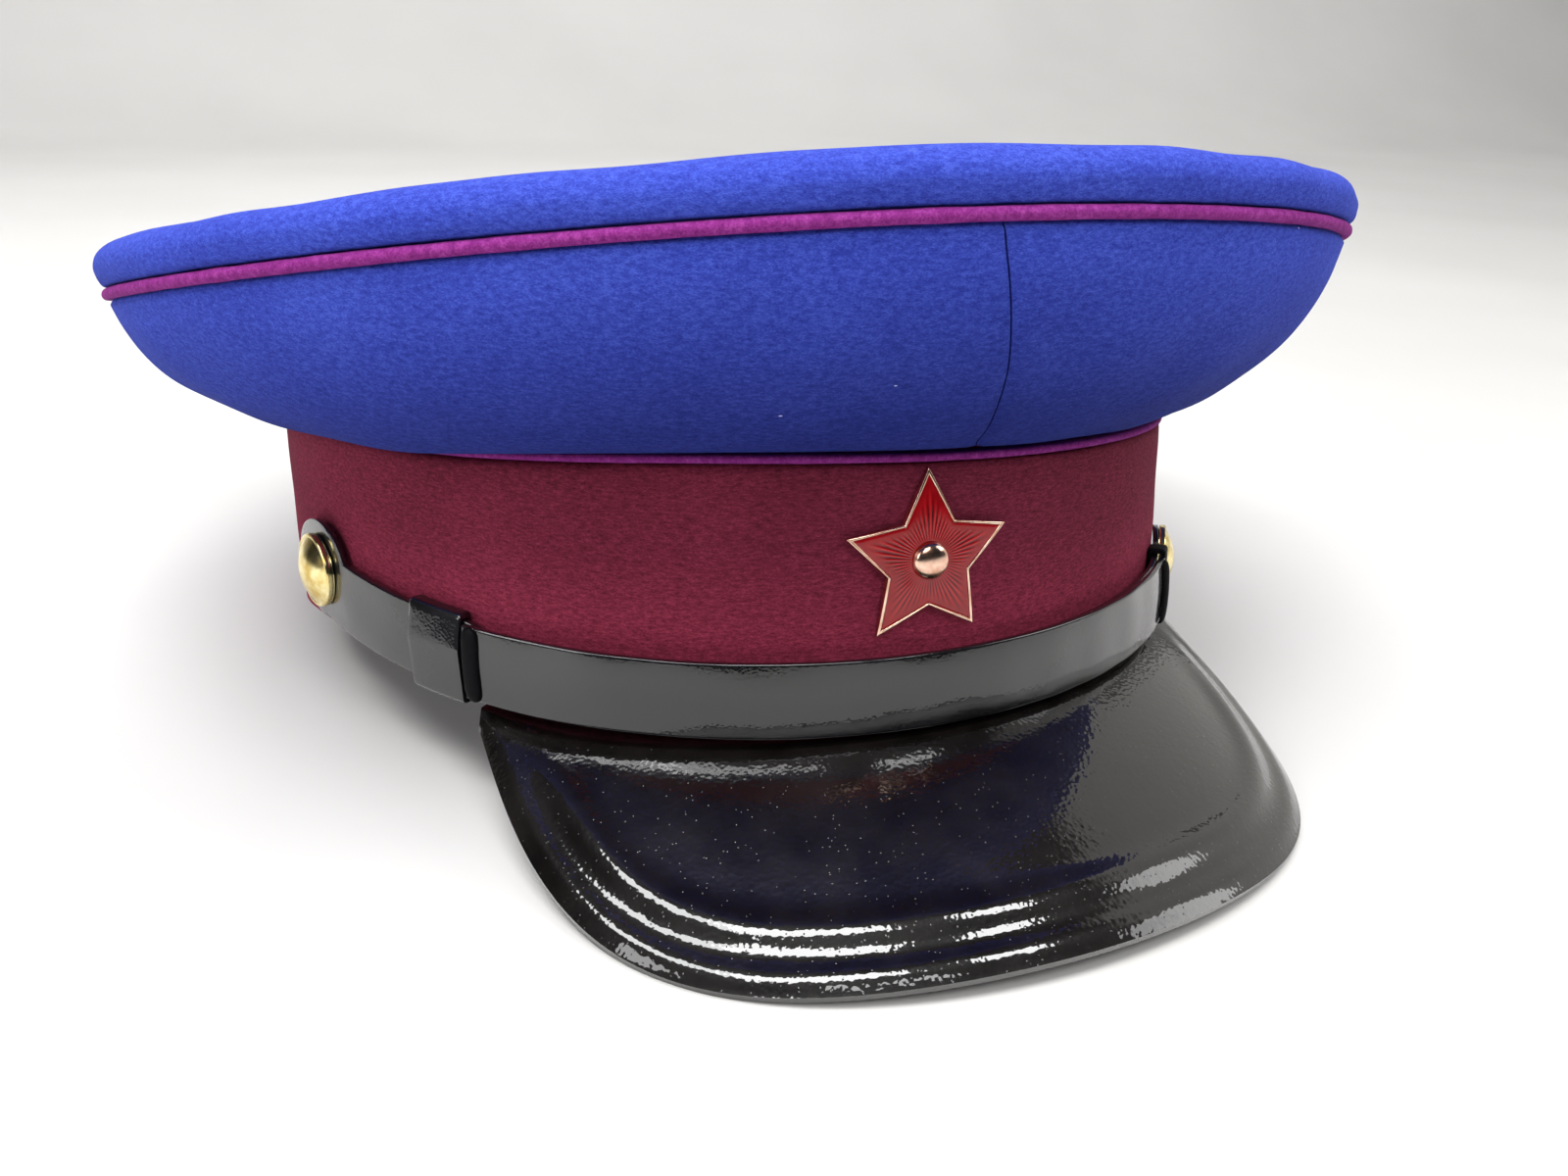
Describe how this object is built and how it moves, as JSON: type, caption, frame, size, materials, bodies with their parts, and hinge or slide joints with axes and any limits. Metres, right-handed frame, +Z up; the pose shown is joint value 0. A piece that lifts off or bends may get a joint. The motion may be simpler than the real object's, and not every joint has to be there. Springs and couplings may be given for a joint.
{
  "type": "peaked cap",
  "caption": "Stiffened wool peaked cap with a wide round crown, corded rim, contrasting band, patent leather peak and chin strap, domed buttons and a plain star badge.",
  "frame": {"origin": "on the table under the middle of the cap's bounding box", "axes": "+Z up from the table, -Y to the front where the peak is, +X to the wearer's left"},
  "size_m": [0.2494, 0.2796, 0.116],
  "materials": {
    "blue_wool": "felted royal blue wool cloth with a short nap",
    "crimson_cord": "crimson wool piping over a cord",
    "maroon_wool": "felted maroon wool cloth",
    "patent_leather": "black lacquered leather, glossy with a fine grain",
    "brass": "polished gilt brass",
    "red_enamel": "translucent red enamel, glossy"
  },
  "bodies": {
    "root": {"band": "maroon_wool", "band_piping": "crimson_cord", "crown_side_left": "blue_wool", "crown_side_right": "blue_wool", "crown_piping": "crimson_cord", "crown_top": "blue_wool", "peak": "patent_leather", "chin_strap": "patent_leather", "chin_strap_outer": "patent_leather", "strap_keeper_right": "patent_leather", "strap_keeper_left": "patent_leather", "button_right": "brass", "button_left": "brass", "badge_star": "brass", "badge_enamel": "red_enamel"}
  },
  "joints": []
}
